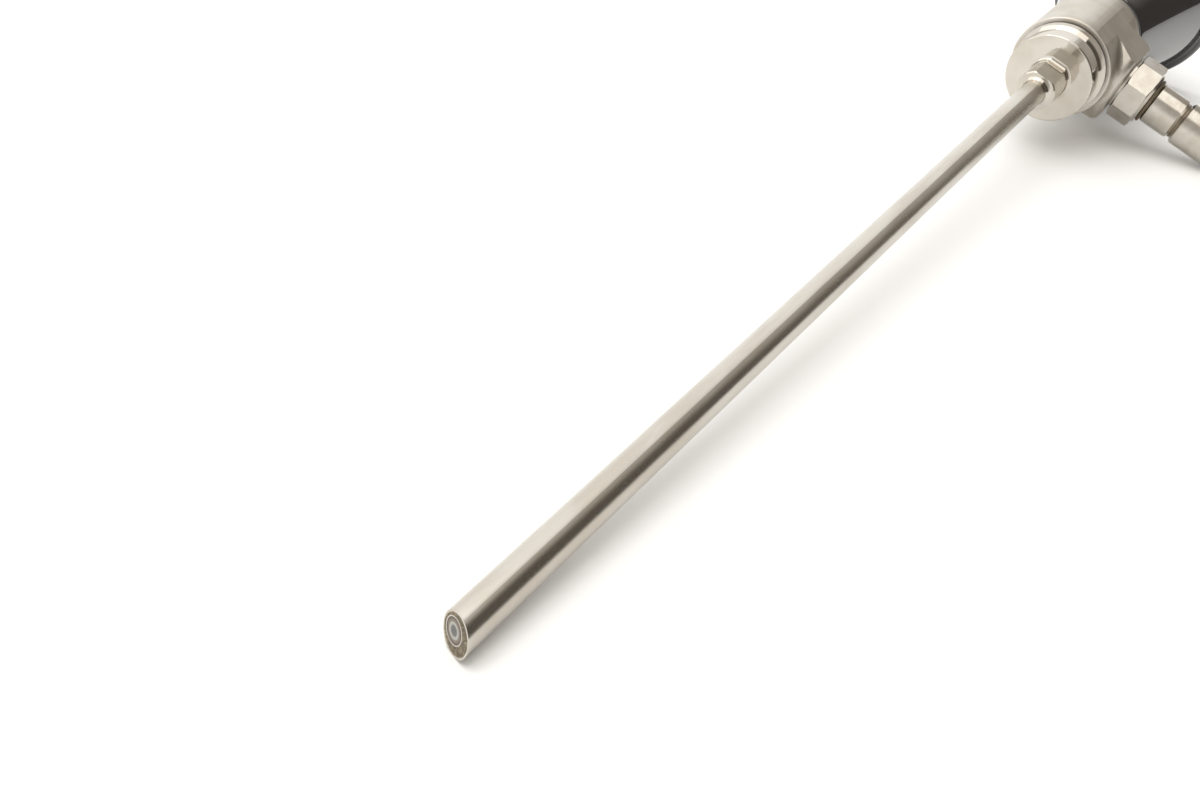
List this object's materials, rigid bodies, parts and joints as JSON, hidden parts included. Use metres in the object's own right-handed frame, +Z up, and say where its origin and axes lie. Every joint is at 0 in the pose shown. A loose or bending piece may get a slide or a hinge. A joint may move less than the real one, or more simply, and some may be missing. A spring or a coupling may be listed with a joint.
{
  "type": "arthroscope",
  "caption": "Rigid 30 degree arthroscope with a 4 mm shaft, a coupling disc, a side light post with screwed adapters and a black 32 mm eyecup.",
  "frame": {"origin": "centre of the footprint of the scope as it lies on a flat surface", "axes": "+X from the tip towards the eyepiece, +Z up, light post towards -Y and down"},
  "size_m": [0.2422, 0.0466, 0.0321],
  "materials": {
    "shaft_steel": "polished along the shaft",
    "optics_tube_steel": "bright cut edge",
    "hub_steel": "fine satin, turned",
    "body_steel": "fine satin",
    "post_steel": "fine satin",
    "inner_adapter_steel": "fine satin, turned",
    "outer_adapter_steel": "fine satin, turned",
    "ferrule_steel": "polished end",
    "inner_steel": "plain",
    "fibre": "polished fibre ends in epoxy",
    "seal_black": "matt",
    "eyecup_black": "gloss, moulded",
    "ring_black": "satin black",
    "black_brass": "blackened",
    "rod_glass": "clear, ground sides",
    "lens_glass": "clear, coated",
    "sapphire": "clear, polished"
  },
  "bodies": {
    "scope": {"eyecup": "eyecup_black", "eyecup_seal": "seal_black", "eyepiece_tube": "inner_steel", "eyepiece_window": "lens_glass", "fibre_ferrule": "ferrule_steel", "field_stop": "black_brass", "hub_seal": "seal_black", "inner_optics_tube": "optics_tube_steel", "light_fibre_bundle": "fibre", "light_post_base": "post_steel", "main_body": "body_steel", "objective_cell": "inner_steel", "objective_lens_1": "lens_glass", "objective_lens_2": "lens_glass", "objective_window": "sapphire", "ocular_cell": "black_brass", "ocular_front_lens": "lens_glass", "ocular_lock_ring": "black_brass", "ocular_rear_lens": "lens_glass", "outer_tube": "shaft_steel", "prism_front": "lens_glass", "prism_rear": "lens_glass", "rod_lens_1": "rod_glass", "rod_lens_2": "rod_glass", "rod_lens_3": "rod_glass", "rod_lens_4": "rod_glass", "rod_lens_5": "rod_glass", "rod_lens_6": "rod_glass", "rod_spacer_1": "inner_steel", "rod_spacer_2": "inner_steel", "rod_spacer_3": "inner_steel", "rod_spacer_4": "inner_steel", "rod_spacer_5": "inner_steel", "sheath_hub": "hub_steel", "window_retaining_ring": "ring_black"},
    "inner_seal": {"inner_adapter_seal": "seal_black"},
    "inner_adapter": {"inner_adapter": "inner_adapter_steel"},
    "outer_seal": {"outer_adapter_seal": "seal_black"},
    "outer_adapter": {"outer_adapter": "outer_adapter_steel"}
  },
  "joints": [
    {"name": "inner_adapter_turn", "type": "hinge", "parent": "scope", "child": "inner_seal", "pos_m": [0.07501, -0.00734, 0.00859], "axis": [0.0188, -0.9475, -0.3191], "range_deg": [0, 1800]},
    {"name": "inner_adapter_travel", "type": "slide", "parent": "inner_seal", "child": "inner_adapter", "axis": [0.0188, -0.9475, -0.3191], "range_m": [0, 0.00375]},
    {"name": "outer_adapter_turn", "type": "hinge", "parent": "inner_adapter", "child": "outer_seal", "pos_m": [0.07513, -0.01312, 0.00665], "axis": [0.0188, -0.9475, -0.3191], "range_deg": [0, 1800]},
    {"name": "outer_adapter_travel", "type": "slide", "parent": "outer_seal", "child": "outer_adapter", "axis": [0.0188, -0.9475, -0.3191], "range_m": [0, 0.00375]}
  ],
  "couplings": [
    {"joint": "inner_adapter_turn", "follows": "inner_adapter_travel", "rad_per_m": 8377.6},
    {"joint": "outer_adapter_turn", "follows": "outer_adapter_travel", "rad_per_m": 8377.6}
  ]
}
